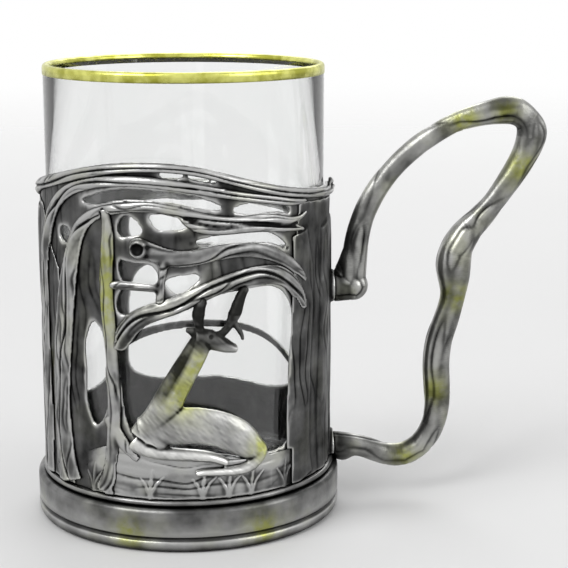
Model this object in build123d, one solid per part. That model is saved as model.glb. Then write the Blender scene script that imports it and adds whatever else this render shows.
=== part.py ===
"""Tea glass holder (podstakannik) with its glass, in millimetres.

The frame stands on the table: +Z is up, the origin is the middle of the foot's
underside, and the handle points along +X. The picture faces -Y.
The pierced sleeve stands on a base plate inside a spun foot. Cast trees, boughs,
a stag and a bank are soldered to the sleeve, and a cast branch is pinned to it
as the handle. The glass stands loose on the base plate and lifts out.
"""

from build123d import *
from bisect import bisect
from math import cos, radians, sin, sqrt
import os

# Glass
GLASS_RADIUS = 33.6
GLASS_HEIGHT = 107.0
GLASS_WALL = 1.5
GLASS_FLOOR = 5.0
GLASS_HEEL_ROUND = 4.0
GLASS_INNER_ROUND = 3.0
PUNT_RADIUS = 25.0
PUNT_DEPTH = 0.8
GILT_THICKNESS = 0.12
GILT_OUTER_HEIGHT = 2.3
GILT_INNER_HEIGHT = 1.2

# Foot, base plate and bead ring
FOOT_RADIUS = 37.5
FOOT_HEIGHT = 10.5
FOOT_WALL = 1.2
FOOT_EDGE_ROUND = 1.6
FOOT_SHOULDER_ROUND = 1.2
FOOT_RIM_HEIGHT = 2.6
FOOT_GROOVE_HEIGHT = 1.4
FOOT_GROOVE_DEPTH = 0.6
FLANGE_WIDTH = 6.0
PLATE_THICKNESS = 1.8
SOLDER_GAP = 0.1
BEAD_WIDTH = 1.1
BEAD_HEIGHT = 1.8
BEAD_ROUND = 0.8

# Sleeve
GLASS_CLEARANCE = 0.4
SLEEVE_WALL = 0.9
SLEEVE_HEIGHT = 87.5

# Relief
BARK_SKIN = 0.4
RIDGE_DEPTH = 0.9
BOUGH_DEPTH = 1.4
BANK_DEPTH = 0.7
STAG_DEPTH = 2.2
ANTLER_DEPTH = 1.2
BUD_RADIUS = 1.9
KNOT_RADIUS = 2.6
KNOT_HOLLOW_RADIUS = 1.6
HANDLE_TRUNK_RIDGES = 4
FIRST_RIDGE_ANGLE = 50.0
RIDGE_SPACING = 20.0
GRASS_BLADES = 9
FIRST_BLADE_ANGLE = -38.0
BLADE_SPACING = 9.2
FEWEST_SPANS = 6

# Handle and its pins
UPPER_JOINT_HEIGHT = 54.9
LOWER_JOINT_HEIGHT = 14.0
HANDLE_REACH = 50.2
HANDLE_RISE = 43.6
HANDLE_FLATNESS = 0.9
ELBOW_RADIUS = 3.3
BOSS_RADIUS = 4.0
BOSS_DEPTH = 1.7
PIN_RADIUS = 1.5
PIN_HEAD_RADIUS = 2.3
PIN_REACH = 3.0
PIN_CLEARANCE = 0.05

# Places that follow from these sizes
plate_bottom = FOOT_WALL
seat_height = plate_bottom + PLATE_THICKNESS
glass_top = seat_height + GLASS_HEIGHT
glass_bore = GLASS_RADIUS - GLASS_WALL
wall_inner = GLASS_RADIUS + GLASS_CLEARANCE
wall_outer = wall_inner + SLEEVE_WALL
sleeve_top = seat_height + SLEEVE_HEIGHT
picture_bottom = FOOT_HEIGHT + BEAD_HEIGHT
picture_height = sleeve_top - picture_bottom
boss_face = wall_outer + BOSS_DEPTH
joint_heights = (UPPER_JOINT_HEIGHT, LOWER_JOINT_HEIGHT)

# Every picture point is an angle in degrees from the front towards the handle, and a height
# in percent of the way from the bead ring to the highest point of the sleeve.
TOP_EDGE_FRONT = [
    (-90, 89.6), (-60, 93.8), (-32, 98.6), (-12, 100), (5, 98.6), (24, 94.5), (48, 90.4), (90, 88.1),
]
TOP_EDGE_REAR = [
    (90, 88.1), (100, 84.8), (112, 82), (128, 80), (150, 79.4), (180, 79.8), (215, 81.2), (246, 85.6),
    (270, 89.6),
]

FRONT_WINDOWS = {
    "below the top bough": [
        (-10, 97.2), (-2, 97), (6, 95.9), (15, 93.4), (6, 94.6), (-2, 95.6), (-9, 96),
    ],
    "below the second bough": [
        (-44, 87.6), (-36, 89.8), (-28, 91.4), (-15, 91.8), (-3, 91), (8, 88.8), (14, 86.4),
        (6, 86.8), (-4, 88.4), (-15, 89.1), (-28, 88.5), (-38, 87),
    ],
    "right of the second bough": [
        (17, 86.2), (24, 87.4), (34, 87.2), (40, 86), (44, 83.6), (38, 84.2), (28, 84.5), (20, 85),
    ],
    "above the side twig": [(-14, 85), (-6, 85), (1, 83), (0, 81.4), (-4, 80.8), (-12, 81.8)],
    "above the lower bough": [
        (1, 76.8), (8, 78.2), (17, 79), (29, 78.8), (36, 77.2), (44, 71.6), (36, 74.8), (29, 76),
        (17, 76.4), (8, 76.2),
    ],
    "above the knot": [(-25, 83.4), (-18, 82.3), (-16.5, 79.7), (-21, 78.6), (-25.3, 78.4)],
    "below the knot": [(-25, 71.3), (-18, 70.6), (-11.8, 69), (-11.2, 65.3), (-18, 65.1), (-25, 65.5)],
    "right of the twig": [(-8, 65.5), (-1, 67.4), (5, 66.9), (2, 64.3), (-5, 62.5)],
    "above the main branch": [(-25, 62.7), (-12, 62.3), (-11.8, 59.7), (-18, 57.8), (-24.5, 55.2)],
    "round the stag": [
        (-25.5, 46), (-20, 50), (-10, 54.4), (0, 57.4), (12, 61.2), (24, 62.4), (35, 62), (42, 57.5),
        (43, 41.8), (42.8, 25), (40, 13), (30, 12), (0, 12.6), (-18, 16), (-24.5, 26), (-26, 36),
    ],
    "beside the trunk": [
        (-41, 49.5), (-37.5, 52), (-34.4, 49), (-33.3, 35.4), (-34, 23.9), (-38, 20.7), (-42, 25.2),
        (-42.5, 38),
    ],
    "high on the trunk": [(-57.5, 77.5), (-54.5, 79.2), (-51, 78.4), (-51, 75.6), (-55, 74.4)],
}
REAR_WINDOWS = {
    "wide and low": [
        (123, 17), (130, 14.6), (165, 14.4), (196, 14.6), (204, 17), (206.5, 31), (206, 45), (201, 52.5),
        (185, 54), (160, 54), (135, 52.8), (124, 48), (121.5, 31),
    ],
    "wide and high": [
        (123, 64.5), (140, 61.6), (165, 61), (190, 61.4), (204, 63.5), (206, 68.4), (202, 73), (185, 74),
        (160, 74.2), (138, 73.6), (125, 71.5),
    ],
    "low beside the trunk": [
        (221, 17), (232, 14.6), (242, 17), (244, 32), (242.5, 46), (237, 50.5), (227, 50.5), (221.5, 47),
        (220, 32),
    ],
    "high beside the trunk": [
        (221, 64), (231, 61), (241, 64), (242, 69), (239, 73.4), (230, 74.4), (222.5, 72.5),
    ],
}

# Stops of the handle's middle line: share of the reach, climb, thickness.
# The climb is 0 at the lower joint, 1 at the upper joint and 2 at the top.
HANDLE_STOPS = [
    (0.092, 1, 5), (0.096, 1.135, 5.6), (0.108, 1.26, 5.1), (0.13, 1.375, 5), (0.175, 1.49, 4.9),
    (0.26, 1.64, 4.6), (0.41, 1.8, 4.5), (0.6, 1.93, 4.5), (0.765, 1.982, 5.6), (0.875, 1.985, 6.4),
    (0.952, 1.93, 7.2), (0.968, 1.84, 7.4), (0.93, 1.73, 6.4), (0.88, 1.635, 5.7), (0.785, 1.475, 5.3),
    (0.665, 1.315, 6.2), (0.596, 1.185, 7.8), (0.59, 1.06, 6.4), (0.592, 0.92, 5), (0.55, 0.745, 6.3),
    (0.516, 0.54, 6.3), (0.522, 0.295, 6), (0.502, 0.11, 5.4), (0.436, -0.024, 5.4), (0.353, -0.08, 5.6),
    (0.257, -0.075, 5.4), (0.157, -0.03, 5), (0.068, -0.01, 5.1), (-0.02, 0, 5.4),
]
STUB_STOPS = [(-0.02, 1, 7.8), (0.04, 1, 7), (0.092, 1, 6.4)]


def level(percent):
    """Height of a picture point."""
    return picture_bottom + picture_height * percent / 100


def outward(angle):
    """Radial direction at an angle."""
    return Vector(sin(radians(angle)), -cos(radians(angle)), 0)


def facing(angle):
    """Upright plane through the axis that looks outward at an angle."""
    sideways = Vector(cos(radians(angle)), sin(radians(angle)), 0)
    return Plane(origin=(0, 0, 0), x_dir=sideways, z_dir=outward(angle))


def on_sleeve(angle, percent):
    """Picture point on the outside of the sleeve."""
    return outward(angle) * wall_outer + Vector(0, 0, level(percent))


def middle_angle(points):
    """Angle half way between the sides of an outline."""
    angles = [angle for angle, _ in points]
    return (min(angles) + max(angles)) / 2


def between(places, values, place):
    """Value at a place, on straight lines between the values at the places."""
    index = min(max(bisect(places, place), 1), len(places) - 1)
    share = (place - places[index - 1]) / (places[index] - places[index - 1])
    return values[index - 1] + share * (values[index] - values[index - 1])


def stations(points, widths):
    """Middle, direction and width of evenly spaced sections along a smooth line through points."""
    path = Spline(*points)
    reached = [0]
    for first, second in zip(points, points[1:]):
        reached.append(reached[-1] + (Vector(second) - Vector(first)).length)
    spans = max(len(points) - 1, FEWEST_SPANS)
    found = []
    for index in range(spans + 1):
        share = index / spans
        width = between(reached, widths, share * reached[-1])
        found.append((path @ share, path % share, width))
    return found


def tube(outer, inner, bottom, top):
    """Upright tube round the axis."""
    ring = Cylinder(outer, top - bottom) - Cylinder(inner, top - bottom)
    return Pos(0, 0, (bottom + top) / 2) * ring


def prism(points, smooth):
    """Outline taken square to the sleeve at its middle angle, from the axis outward."""
    middle = middle_angle(points)
    flat = [(wall_outer * sin(radians(angle - middle)), level(percent)) for angle, percent in points]
    outline = Spline(*flat, periodic=True) if smooth else Polyline(*flat, close=True)
    return extrude(facing(middle) * make_face(outline), amount=2 * wall_outer)


def sky(points, side):
    """All that lies above the top edge on the front (-1) or the rear (1) half."""
    line = [(wall_outer * sin(radians(angle)), level(percent)) for angle, percent in points]
    first, last = line[0], line[-1]
    near, far = 2 * first[0], 2 * last[0]
    lid = 2 * sleeve_top
    frame = Polyline(last, (far, last[1]), (far, lid), (near, lid), (near, first[1]), first)
    return extrude(Plane.XZ * make_face(Spline(*line) + frame), amount=-side * 2 * wall_outer)


def rib(points, widths, depth):
    """Round tapering rib whose middle lies on the sleeve, through picture points."""
    sections = []
    for centre, ahead, width in stations([on_sleeve(angle, percent) for angle, percent in points], widths):
        place = Plane(origin=centre, x_dir=(centre.X, centre.Y, 0), z_dir=ahead)
        sections.append(place * Ellipse(min(depth, width), width / 2))
    return loft(sections)


def casting(*shapes):
    """Relief piece, its back shaped to the sleeve and its lower end to the bead ring."""
    joined = shapes[0]
    for shape in shapes[1:]:
        joined = joined + shape
    core = Pos(0, 0, sleeve_top) * Cylinder(wall_outer, 2 * sleeve_top)
    below = Pos(0, 0, picture_bottom / 2) * Cylinder(2 * wall_outer, picture_bottom)
    return joined - core - below


def skin(points, depth):
    """Thin layer on the sleeve inside an outline."""
    return tube(wall_outer + depth, wall_outer, picture_bottom, sleeve_top) & prism(points, smooth=False)


def make_glass():
    """Straight tumbler with a rounded heel, a hollowed underside and a rounded lip."""
    lip = glass_top - GLASS_WALL / 2
    floor = seat_height + GLASS_FLOOR
    heel = (GLASS_RADIUS - GLASS_HEEL_ROUND, seat_height)
    side = (GLASS_RADIUS, seat_height + GLASS_HEEL_ROUND)
    inner_side = (glass_bore, floor + GLASS_INNER_ROUND)
    inner_floor = (glass_bore - GLASS_INNER_ROUND, floor)
    punt = seat_height + PUNT_DEPTH
    punt_edge = (PUNT_RADIUS, seat_height)
    profile = (
        Polyline(inner_floor, (0, floor), (0, punt), (PUNT_RADIUS - PUNT_DEPTH, punt), punt_edge, heel)
        + RadiusArc(heel, side, -GLASS_HEEL_ROUND)
        + Line(side, (GLASS_RADIUS, lip))
        + ThreePointArc((GLASS_RADIUS, lip), (GLASS_RADIUS - GLASS_WALL / 2, glass_top), (glass_bore, lip))
        + Line((glass_bore, lip), inner_side)
        + RadiusArc(inner_side, inner_floor, GLASS_INNER_ROUND)
    )
    return revolve(Plane.XZ * make_face(profile), Axis.Z)


def make_gilt_rim():
    """Fired gilding over the lip, deeper outside than inside."""
    lip = glass_top - GLASS_WALL / 2
    middle = GLASS_RADIUS - GLASS_WALL / 2
    outside = GLASS_RADIUS + GILT_THICKNESS
    inside = glass_bore - GILT_THICKNESS
    outer_end = glass_top - GILT_OUTER_HEIGHT
    inner_end = glass_top - GILT_INNER_HEIGHT
    profile = (
        Polyline((GLASS_RADIUS, lip), (GLASS_RADIUS, outer_end), (outside, outer_end), (outside, lip))
        + ThreePointArc((outside, lip), (middle, glass_top + GILT_THICKNESS), (inside, lip))
        + Polyline((inside, lip), (inside, inner_end), (glass_bore, inner_end), (glass_bore, lip))
        + ThreePointArc((glass_bore, lip), (middle, glass_top), (GLASS_RADIUS, lip))
    )
    return revolve(Plane.XZ * make_face(profile), Axis.Z)


def make_foot():
    """Spun foot, rolled in under the base plate, with a groove over its rim and a shoulder at the sleeve."""
    mouth = wall_outer + SOLDER_GAP
    bore = FOOT_RADIUS - FOOT_WALL
    ceiling = FOOT_HEIGHT - FOOT_WALL
    flange = bore - FLANGE_WIDTH
    edge = FOOT_RADIUS - FOOT_EDGE_ROUND
    shoulder = FOOT_RADIUS - FOOT_SHOULDER_ROUND
    side_top = FOOT_HEIGHT - FOOT_SHOULDER_ROUND
    rim_top = (FOOT_RADIUS, FOOT_RIM_HEIGHT)
    groove = (FOOT_RADIUS - FOOT_GROOVE_DEPTH, FOOT_RIM_HEIGHT + FOOT_GROOVE_HEIGHT / 2)
    side_bottom = (FOOT_RADIUS, FOOT_RIM_HEIGHT + FOOT_GROOVE_HEIGHT)
    profile = (
        Polyline((bore, plate_bottom), (flange, plate_bottom), (flange, 0), (edge, 0))
        + RadiusArc((edge, 0), (FOOT_RADIUS, FOOT_EDGE_ROUND), -FOOT_EDGE_ROUND)
        + Line((FOOT_RADIUS, FOOT_EDGE_ROUND), rim_top)
        + ThreePointArc(rim_top, groove, side_bottom)
        + Line(side_bottom, (FOOT_RADIUS, side_top))
        + RadiusArc((FOOT_RADIUS, side_top), (shoulder, FOOT_HEIGHT), -FOOT_SHOULDER_ROUND)
        + Polyline((shoulder, FOOT_HEIGHT), (mouth, FOOT_HEIGHT), (mouth, ceiling), (bore, ceiling))
        + Line((bore, ceiling), (bore, plate_bottom))
    )
    return revolve(Plane.XZ * make_face(profile), Axis.Z)


def make_base_plate():
    """Disc that the foot is rolled under and that the sleeve and the glass stand on."""
    radius = FOOT_RADIUS - FOOT_WALL - SOLDER_GAP
    return Pos(0, 0, plate_bottom + PLATE_THICKNESS / 2) * Cylinder(radius, PLATE_THICKNESS)


def make_bead_ring():
    """Half-round wire that hides the joint of sleeve and foot."""
    inner = wall_outer + SOLDER_GAP
    bead = tube(inner + BEAD_WIDTH, inner, FOOT_HEIGHT, picture_bottom)
    outer_top = bead.edges().group_by(Axis.Z)[-1].sort_by(SortBy.LENGTH)[-1]
    return fillet(outer_top, BEAD_ROUND)


def make_sleeve():
    """Rolled and pierced wall that holds the glass, with the holes for the pins."""
    wall = tube(wall_outer, wall_inner, seat_height, sleeve_top)
    wall = wall - sky(TOP_EDGE_FRONT, -1) - sky(TOP_EDGE_REAR, 1)
    for outline in [*FRONT_WINDOWS.values(), *REAR_WINDOWS.values()]:
        wall = wall - prism(outline, smooth=True)
    return wall - make_pins(PIN_CLEARANCE)


def make_bank():
    """Ground along the foot of the picture, with blades of grass."""
    outline = [(-43, 0), (-43, 12), (-33, 15), (-22, 15.5), (-8, 13), (10, 11.5), (44, 11.5), (44, 0)]
    blades = []
    for index in range(GRASS_BLADES):
        root = FIRST_BLADE_ANGLE + index * BLADE_SPACING
        lean = 6 if index % 2 else -5
        tip = 8 + 2 * (index % 3)
        line = [(root, 1), (root + lean / 3, tip / 2), (root + lean, tip)]
        blades.append(rib(line, [2.6, 2.2, 0.8], ANTLER_DEPTH))
    return casting(skin(outline, BANK_DEPTH), *blades)


def make_tree_trunk():
    """Thick trunk with bark ridges that spread at the root."""
    outline = [
        (-112, 0), (-112, 84), (-92, 86), (-74, 84), (-66, 74), (-58, 66), (-54, 48), (-56, 20), (-50, 0),
    ]
    outer_ridge = rib([(-104, 0.5), (-102, 29), (-103, 58), (-100, 82)], [9, 7, 7, 4], RIDGE_DEPTH)
    inner_ridge = rib([(-89, 0.5), (-87, 25), (-88, 55), (-85, 74), (-79, 83)], [9, 8, 8, 6, 3], RIDGE_DEPTH)
    return casting(skin(outline, BARK_SKIN), outer_ridge, inner_ridge)


def make_handle_trunk():
    """Bark panel with two flat bosses for the ends of the handle."""
    outline = [(45, 0), (45, 70), (48, 86), (90, 84), (108, 79.5), (118, 72), (118, 0)]
    shapes = [skin(outline, BARK_SKIN)]
    for index in range(HANDLE_TRUNK_RIDGES):
        angle = FIRST_RIDGE_ANGLE + index * RIDGE_SPACING
        line = [(angle, 0.5), (angle - 1.5, 30), (angle + 1, 58), (angle - 1, 77)]
        shapes.append(rib(line, [9, 8.6, 8.8, 6], RIDGE_DEPTH))
    for height in joint_heights:
        shapes.append(Pos(boss_face / 2, 0, height) * Rot(0, 90, 0) * Cylinder(BOSS_RADIUS, boss_face))
    return casting(*shapes) - make_pins(PIN_CLEARANCE)


def make_sapling():
    """Slim stem that divides the left windows, with a root that runs into the bank."""
    stem_line = [(-34, 0.5), (-30, 14), (-29, 34), (-30, 50), (-31.2, 62), (-30.5, 76), (-31.5, 86)]
    stem = rib(stem_line, [7, 4, 3.4, 3.6, 4, 3.6, 2.4], BOUGH_DEPTH)
    root = rib([(-31, 24), (-26, 17), (-19, 12)], [3.6, 3.4, 2], BOUGH_DEPTH)
    return casting(stem, root)


def make_top_bough():
    """Bough along the top edge of the front, which ends in a bud above the handle."""
    line = [
        (-100, 85), (-80, 88.5), (-62, 92), (-45, 95), (-28, 97.7), (-10, 98.5), (5, 97.2), (24, 93),
        (45, 89.2), (66, 87.2), (80, 86.4), (89, 87),
    ]
    bough = rib(line, [2.4, 3, 3, 2.8, 2.6, 2.3, 2.2, 2.4, 2.6, 2.2, 2.2, 2.6], BOUGH_DEPTH)
    bud = Pos(on_sleeve(*line[-1])) * Sphere(BUD_RADIUS)
    return casting(bough, bud)


def make_second_bough():
    """Bough that climbs the trunk from its root and bends over under the top bough."""
    line = [
        (-74, 0.5), (-72, 20), (-73, 40), (-72.5, 56), (-70, 70), (-63, 81.5), (-52, 89), (-44, 91.6),
        (-28, 94.2), (-8, 94), (8, 91.8), (28, 88.8), (40, 87.2), (51, 86.4),
    ]
    return casting(rib(line, [9, 7.5, 7.5, 7, 6, 4.4, 3.2, 3, 2.8, 2.8, 2.6, 2.2, 2.2, 1.2], BOUGH_DEPTH))


def make_third_bough():
    """Bough that climbs the trunk beside the second and bends over lower down, with its side twig."""
    line = [
        (-54, 0.5), (-57.5, 14), (-58, 28), (-55, 48), (-51, 64), (-45, 77), (-37, 84), (-24, 86.6),
        (-10, 87), (2, 84.8), (17, 82.8), (32, 82.2), (43, 82.4), (51, 83),
    ]
    bough = rib(line, [10, 8, 7.5, 7.5, 6.4, 4.4, 3, 2.6, 2.6, 2.6, 2.6, 2.6, 2.4, 1.2], BOUGH_DEPTH)
    twig_line = [(-2, 85.6), (2, 82), (9, 80.4), (20, 80.4), (33, 80), (43, 79), (50, 78)]
    twig = rib(twig_line, [1.6, 2, 2.2, 2.2, 2.2, 2, 1], BOUGH_DEPTH)
    return casting(bough, twig)


def make_lower_bough():
    """Thick bough that starts in a knot, with two twigs below it."""
    line = [(-21, 75.6), (-12, 73.8), (0, 72.5), (12, 74), (26, 73.8), (38, 70.6), (45, 67), (50.5, 62.5)]
    bough = rib(line, [3.4, 4.4, 4, 3.8, 3.6, 3.4, 2.8, 1.4], BOUGH_DEPTH)
    hanging = rib([(-8, 72), (-9.2, 66), (-10, 59.5)], [2.4, 1.8, 2.2], BOUGH_DEPTH)
    level_twig = rib([(-29, 64), (-18, 64), (-9, 63.6)], [2.2, 2, 2], BOUGH_DEPTH)
    knot_angle, knot_level = -17.5, 75
    knot_centre = on_sleeve(knot_angle, knot_level)
    knot = Pos(knot_centre) * Sphere(KNOT_RADIUS)
    hollow = Pos(knot_centre + outward(knot_angle) * KNOT_RADIUS) * Sphere(KNOT_HOLLOW_RADIUS)
    return casting(bough, hanging, level_twig, knot) - hollow


def make_main_branch():
    """Branch that rises from the sapling to the handle trunk above the stag."""
    line = [
        (-29, 46), (-21, 52.5), (-11, 57), (0, 60.2), (12, 64.2), (24, 66.2), (36, 65.6), (44, 62), (50, 54),
    ]
    return casting(rib(line, [4, 4.8, 4.4, 4.2, 4, 4.4, 4.8, 4.2, 1.8], BOUGH_DEPTH))


def make_stag():
    """Resting stag that looks back, with its neck raised, folded legs, ear and antlers."""
    body_line = [(-17, 20), (-6, 22.5), (5, 22.5), (13, 20.8), (20, 17.6), (28, 12.5)]
    body = rib(body_line, [8, 9, 8.6, 8.6, 8.2, 5], STAG_DEPTH)
    neck_line = [(-15, 18), (-10, 26), (-3.5, 36), (2, 43.5), (5.5, 48.8)]
    neck = rib(neck_line, [10, 7.4, 6.4, 5.8, 4.6], STAG_DEPTH)
    head = rib([(3, 49.6), (8, 48.6), (13, 46.8), (18, 45.4)], [3.6, 4.8, 3.6, 2.2], STAG_DEPTH)
    ear = rib([(4.5, 49.6), (2, 51), (-0.6, 51.6)], [1.8, 2.4, 0.9], ANTLER_DEPTH)
    foreleg = rib([(-21, 17.5), (-10, 14.4), (6, 13.4), (14, 11)], [4.4, 3.4, 2.8, 2], STAG_DEPTH)
    hind_leg = rib([(27, 14), (24, 9.6), (14, 8.4), (3, 8.2)], [5, 3.4, 2.6, 2], STAG_DEPTH)
    left_line = [(6, 49.6), (4.2, 53.6), (4.8, 58.6), (8.4, 62.6)]
    left_antler = rib(left_line, [2, 1.7, 1.5, 1.2], ANTLER_DEPTH)
    right_line = [(8.5, 49.2), (14.5, 51.2), (17.6, 55.2), (19.6, 59.6), (22, 63)]
    right_antler = rib(right_line, [2, 2, 1.7, 1.5, 1.2], ANTLER_DEPTH)
    tine = rib([(16.5, 53.4), (19.6, 50.6), (21, 47.6)], [1.6, 1.3, 0.8], ANTLER_DEPTH)
    return casting(body, neck, head, ear, foreleg, hind_leg, left_antler, right_antler, tine)


def make_rear_tree():
    """Slender tree of the rear, lower than the boughs that cross it."""
    line = [(215, 0.5), (213, 22), (213.5, 48), (212.5, 66), (214, 78)]
    return casting(rib(line, [9, 6, 5.4, 5, 3.6], RIDGE_DEPTH))


def make_rear_top_bough():
    """Bough along the top edge of the rear."""
    line = [
        (97, 84), (112, 80.6), (128, 78.6), (150, 78), (180, 78.3), (215, 79.7), (244, 83.4), (258, 86.2),
    ]
    return casting(rib(line, [2, 2.4, 2.4, 2.4, 2.6, 2.6, 2.6, 2.2], BOUGH_DEPTH))


def make_rear_middle_bough():
    """Bough over the high rear windows."""
    line = [(116, 73), (138, 74.8), (160, 75.4), (185, 75.6), (210, 75.4), (232, 76), (250, 77.4)]
    return casting(rib(line, [2, 2.2, 2.4, 2.4, 2.2, 2.2, 2], BOUGH_DEPTH))


def make_rear_lower_bough():
    """Bough over the low rear windows."""
    line = [(116, 55), (135, 57), (160, 57.8), (185, 57.6), (210, 57), (232, 55.6), (250, 57)]
    return casting(rib(line, [2.4, 3, 3, 3, 3, 3, 2.6], BOUGH_DEPTH))


def make_rear_low_twig():
    """Twig that arches across the wide rear window."""
    line = [(212, 26.5), (193, 31), (172, 32.4), (150, 31.6), (138, 28.6), (128, 24), (117, 18)]
    return casting(rib(line, [3, 2.4, 2.2, 2.2, 2, 2, 2.4], BOUGH_DEPTH))


def make_rear_high_twig():
    """Twig that rises across the rear window beside the trunk."""
    line = [(214, 36), (226, 41), (238, 46), (250, 52)]
    return casting(rib(line, [3, 2.4, 2, 1.8], BOUGH_DEPTH))


def make_pins(extra):
    """Countersunk pins from inside the sleeve into the handle, or their holes with some extra."""
    head = sqrt(wall_inner ** 2 - PIN_HEAD_RADIUS ** 2)
    radius = PIN_RADIUS + extra
    cone_end = head + PIN_HEAD_RADIUS - radius
    end = boss_face + PIN_REACH + extra
    corners = [(head, 0), (head, PIN_HEAD_RADIUS), (cone_end, radius), (end, radius), (end, 0)]
    pin = revolve(Plane.XZ * make_face(Polyline(*corners, close=True)), Axis.X)
    return Compound([Pos(0, 0, height) * pin for height in joint_heights])


def limb(stops):
    """Round limb of the handle through its stops."""
    span = UPPER_JOINT_HEIGHT - LOWER_JOINT_HEIGHT
    line = []
    for reach, climb, _ in stops:
        height = LOWER_JOINT_HEIGHT + span * min(climb, 1) + HANDLE_RISE * max(climb - 1, 0)
        line.append((boss_face + HANDLE_REACH * reach, 0, height))
    sections = []
    for centre, ahead, width in stations(line, [thickness for _, _, thickness in stops]):
        place = Plane(origin=centre, x_dir=(0, 1, 0), z_dir=ahead)
        sections.append(place * Ellipse(HANDLE_FLATNESS * width / 2, width / 2))
    return loft(sections)


def make_handle():
    """Cast branch that rises from the upper boss, turns over and comes down to the lower boss."""
    elbow_reach = STUB_STOPS[-1][0]
    elbow = Pos(boss_face + HANDLE_REACH * elbow_reach, 0, UPPER_JOINT_HEIGHT) * Sphere(ELBOW_RADIUS)
    branch = limb(HANDLE_STOPS) + limb(STUB_STOPS) + elbow
    behind = Pos(boss_face / 2, 0, sleeve_top / 2) * Box(boss_face, 4 * BOSS_RADIUS, 2 * sleeve_top)
    return branch - behind - make_pins(PIN_CLEARANCE)


# Each casting is shaped to the ones that were soldered on before it.
reliefs = {
    "bank_relief": make_bank(),
    "tree_trunk": make_tree_trunk(),
    "handle_trunk": make_handle_trunk(),
    "sapling": make_sapling(),
    "top_bough": make_top_bough(),
    "second_bough": make_second_bough(),
    "third_bough": make_third_bough(),
    "lower_bough": make_lower_bough(),
    "main_branch": make_main_branch(),
    "stag": make_stag(),
    "rear_tree": make_rear_tree(),
    "rear_top_bough": make_rear_top_bough(),
    "rear_middle_bough": make_rear_middle_bough(),
    "rear_lower_bough": make_rear_lower_bough(),
    "rear_low_twig": make_rear_low_twig(),
    "rear_high_twig": make_rear_high_twig(),
}
fitted = {}
for name, shape in reliefs.items():
    for earlier in fitted.values():
        shape = shape - earlier
    fitted[name] = shape

parts = {
    "foot_ring": make_foot(),
    "base_plate": make_base_plate(),
    "bead_ring": make_bead_ring(),
    "openwork_sleeve": make_sleeve(),
    **fitted,
    "handle": make_handle(),
    "handle_pins": make_pins(0),
    "glass_tumbler": make_glass(),
    "gilt_rim_band": make_gilt_rim(),
}
os.makedirs("parts", exist_ok=True)
for name, shape in parts.items():
    export_step(shape, f"parts/{name}.step")
    print(name, len(shape.solids()), round(shape.volume, 1), shape.is_valid)
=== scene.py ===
"""A tea glass in a pierced metal holder with bark reliefs and a branch handle, on a pale floor."""

import itertools
import math

import bmesh
import bpy
import numpy as np
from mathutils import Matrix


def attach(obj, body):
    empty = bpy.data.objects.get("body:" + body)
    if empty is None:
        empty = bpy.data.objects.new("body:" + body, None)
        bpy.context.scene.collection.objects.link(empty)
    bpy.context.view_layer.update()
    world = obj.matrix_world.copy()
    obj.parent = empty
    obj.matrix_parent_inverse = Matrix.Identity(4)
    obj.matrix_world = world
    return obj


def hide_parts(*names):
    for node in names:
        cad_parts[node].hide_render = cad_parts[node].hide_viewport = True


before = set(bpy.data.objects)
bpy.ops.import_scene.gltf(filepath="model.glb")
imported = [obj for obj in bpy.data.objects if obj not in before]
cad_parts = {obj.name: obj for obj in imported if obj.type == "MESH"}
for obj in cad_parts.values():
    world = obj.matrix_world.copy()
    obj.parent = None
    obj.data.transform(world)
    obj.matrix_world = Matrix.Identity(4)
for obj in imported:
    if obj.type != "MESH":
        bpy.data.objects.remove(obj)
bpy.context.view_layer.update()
scene = bpy.context.scene
scene.view_settings.view_transform = "Standard"

# Camera, in metres and degrees, with the side of its square picture and its focal length in pixels
PICTURE_SIDE = 568
FOCAL_PIXELS = 1572
SENSOR_WIDTH = 36
CAMERA_PLACE = (0, -0.380, 0.1368)
CAMERA_PITCH = 12.07
CAMERA_YAW = 3.62
CLIP_START = 0.01

# Lamps, each with its place and size in metres and its power in watts, and the white round them
LAMPS = {
    "key": ((-0.7, -0.6, 0.9), 0.7, 9),
    "fill": ((0.9, -0.5, 0.6), 0.8, 4),
    "back": ((0.2, 0.9, 0.9), 0.8, 5),
}
LAMP_AIM = (0, 0, 0.05)
WHITE_AS_LIGHT = 0.5
WHITE_AS_SEEN = 1.0

# Floor, in metres, and the distances over which it fades into the white round it
FLOOR_REACH = 9
FLOOR_FADE = (0.1, 1.3)
FLOOR_GREYS = (0.69, 0.72)
FLOOR_ROUGHNESS = 0.8

# Sizes of the turned pieces, in millimetres
MM = 0.001
GLASS_RADIUS = 33.6
GLASS_BOTTOM = 3
GLASS_TOP = 110
GLASS_WALL = 1.5
GLASS_FLOOR = 5
GLASS_HEEL_ROUND = 4
GLASS_INNER_ROUND = 3
PUNT_RADIUS = 25
PUNT_SLOPE = 2
PUNT_DEPTH = 0.8
GILT_THICKNESS = 0.12
GILT_OUTER_HEIGHT = 2.3
GILT_INNER_HEIGHT = 1.2
FOOT_RADIUS = 37.5
FOOT_HEIGHT = 10.5
FOOT_WALL = 1.2
FOOT_EDGE_ROUND = 1.6
FOOT_SHOULDER_ROUND = 1.2
FOOT_RIM_HEIGHT = 2.6
FOOT_GROOVE_HEIGHT = 1.4
FOOT_GROOVE_DEPTH = 0.6
FLANGE_WIDTH = 6
FLANGE_CHAMFER = 0.3
PLATE_BOTTOM = 1.2
SLEEVE_RADIUS = 34.9
SOLDER_GAP = 0.1
BEAD_WIDTH = 1.1
BEAD_HEIGHT = 1.8
BEAD_RADIUS = 0.66

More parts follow.
